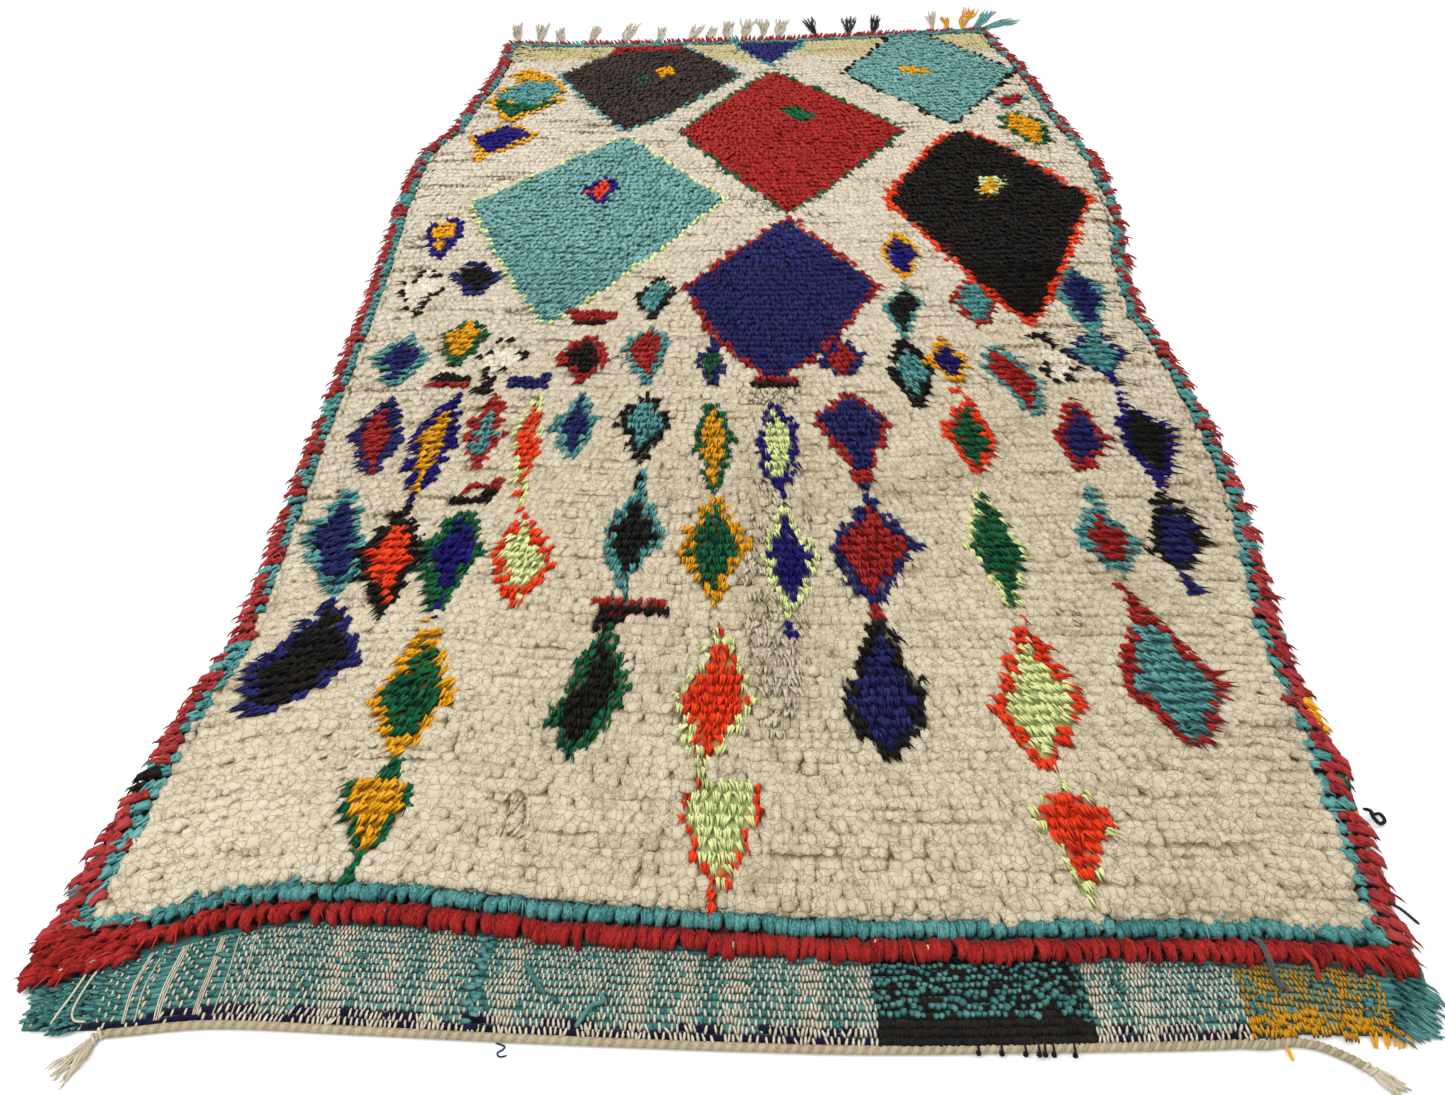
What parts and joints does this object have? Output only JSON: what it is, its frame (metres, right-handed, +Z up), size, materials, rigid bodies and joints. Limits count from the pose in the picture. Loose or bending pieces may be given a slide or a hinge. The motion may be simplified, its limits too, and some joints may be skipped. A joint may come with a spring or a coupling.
{
  "type": "azilal rug",
  "caption": "Hand-knotted shag wool rug lying flat, lumpy pile in rows, bare flat-woven near end with a twisted cord, knotted tassels at the far end.",
  "frame": {"origin": "on the floor under the middle of the rug", "axes": "+Y along the rug towards its tasselled end, +X across it, +Z up out of the pile"},
  "size_m": [1.5071, 2.9551, 0.0246],
  "materials": {
    "pile_wool": "matt hand-spun wool, knotted shag pile",
    "ivory_cord": "matt twisted ivory wool",
    "side_binding": "matt wool overcast in several colours",
    "ivory_tassel": "matt ivory warp yarn, loose ends",
    "black_tassel": "matt charcoal warp yarn, loose ends",
    "gold_tassel": "matt gold warp yarn, loose ends",
    "teal_tassel": "matt teal warp yarn, loose ends"
  },
  "bodies": {
    "root": {"rug_body": "pile_wool", "side_cord_left": "side_binding", "side_cord_right": "side_binding", "end_cord": "ivory_cord", "cord_tassel_left": "ivory_cord", "cord_tassel_right": "ivory_cord", "warp_ends_gold": "gold_tassel", "warp_ends_teal": "teal_tassel", "tassel_ivory_01": "ivory_tassel", "tassel_ivory_02": "ivory_tassel", "tassel_ivory_03": "ivory_tassel", "tassel_ivory_04": "ivory_tassel", "tassel_ivory_05": "ivory_tassel", "tassel_ivory_06": "ivory_tassel", "tassel_ivory_07": "ivory_tassel", "tassel_ivory_08": "ivory_tassel", "tassel_ivory_09": "ivory_tassel", "tassel_ivory_10": "ivory_tassel", "tassel_ivory_11": "ivory_tassel", "tassel_ivory_12": "ivory_tassel", "tassel_ivory_13": "ivory_tassel", "tassel_black_01": "black_tassel", "tassel_black_02": "black_tassel", "tassel_black_03": "black_tassel", "tassel_gold_01": "gold_tassel", "tassel_gold_02": "gold_tassel", "tassel_teal_01": "teal_tassel", "tassel_teal_02": "teal_tassel"}
  },
  "joints": []
}
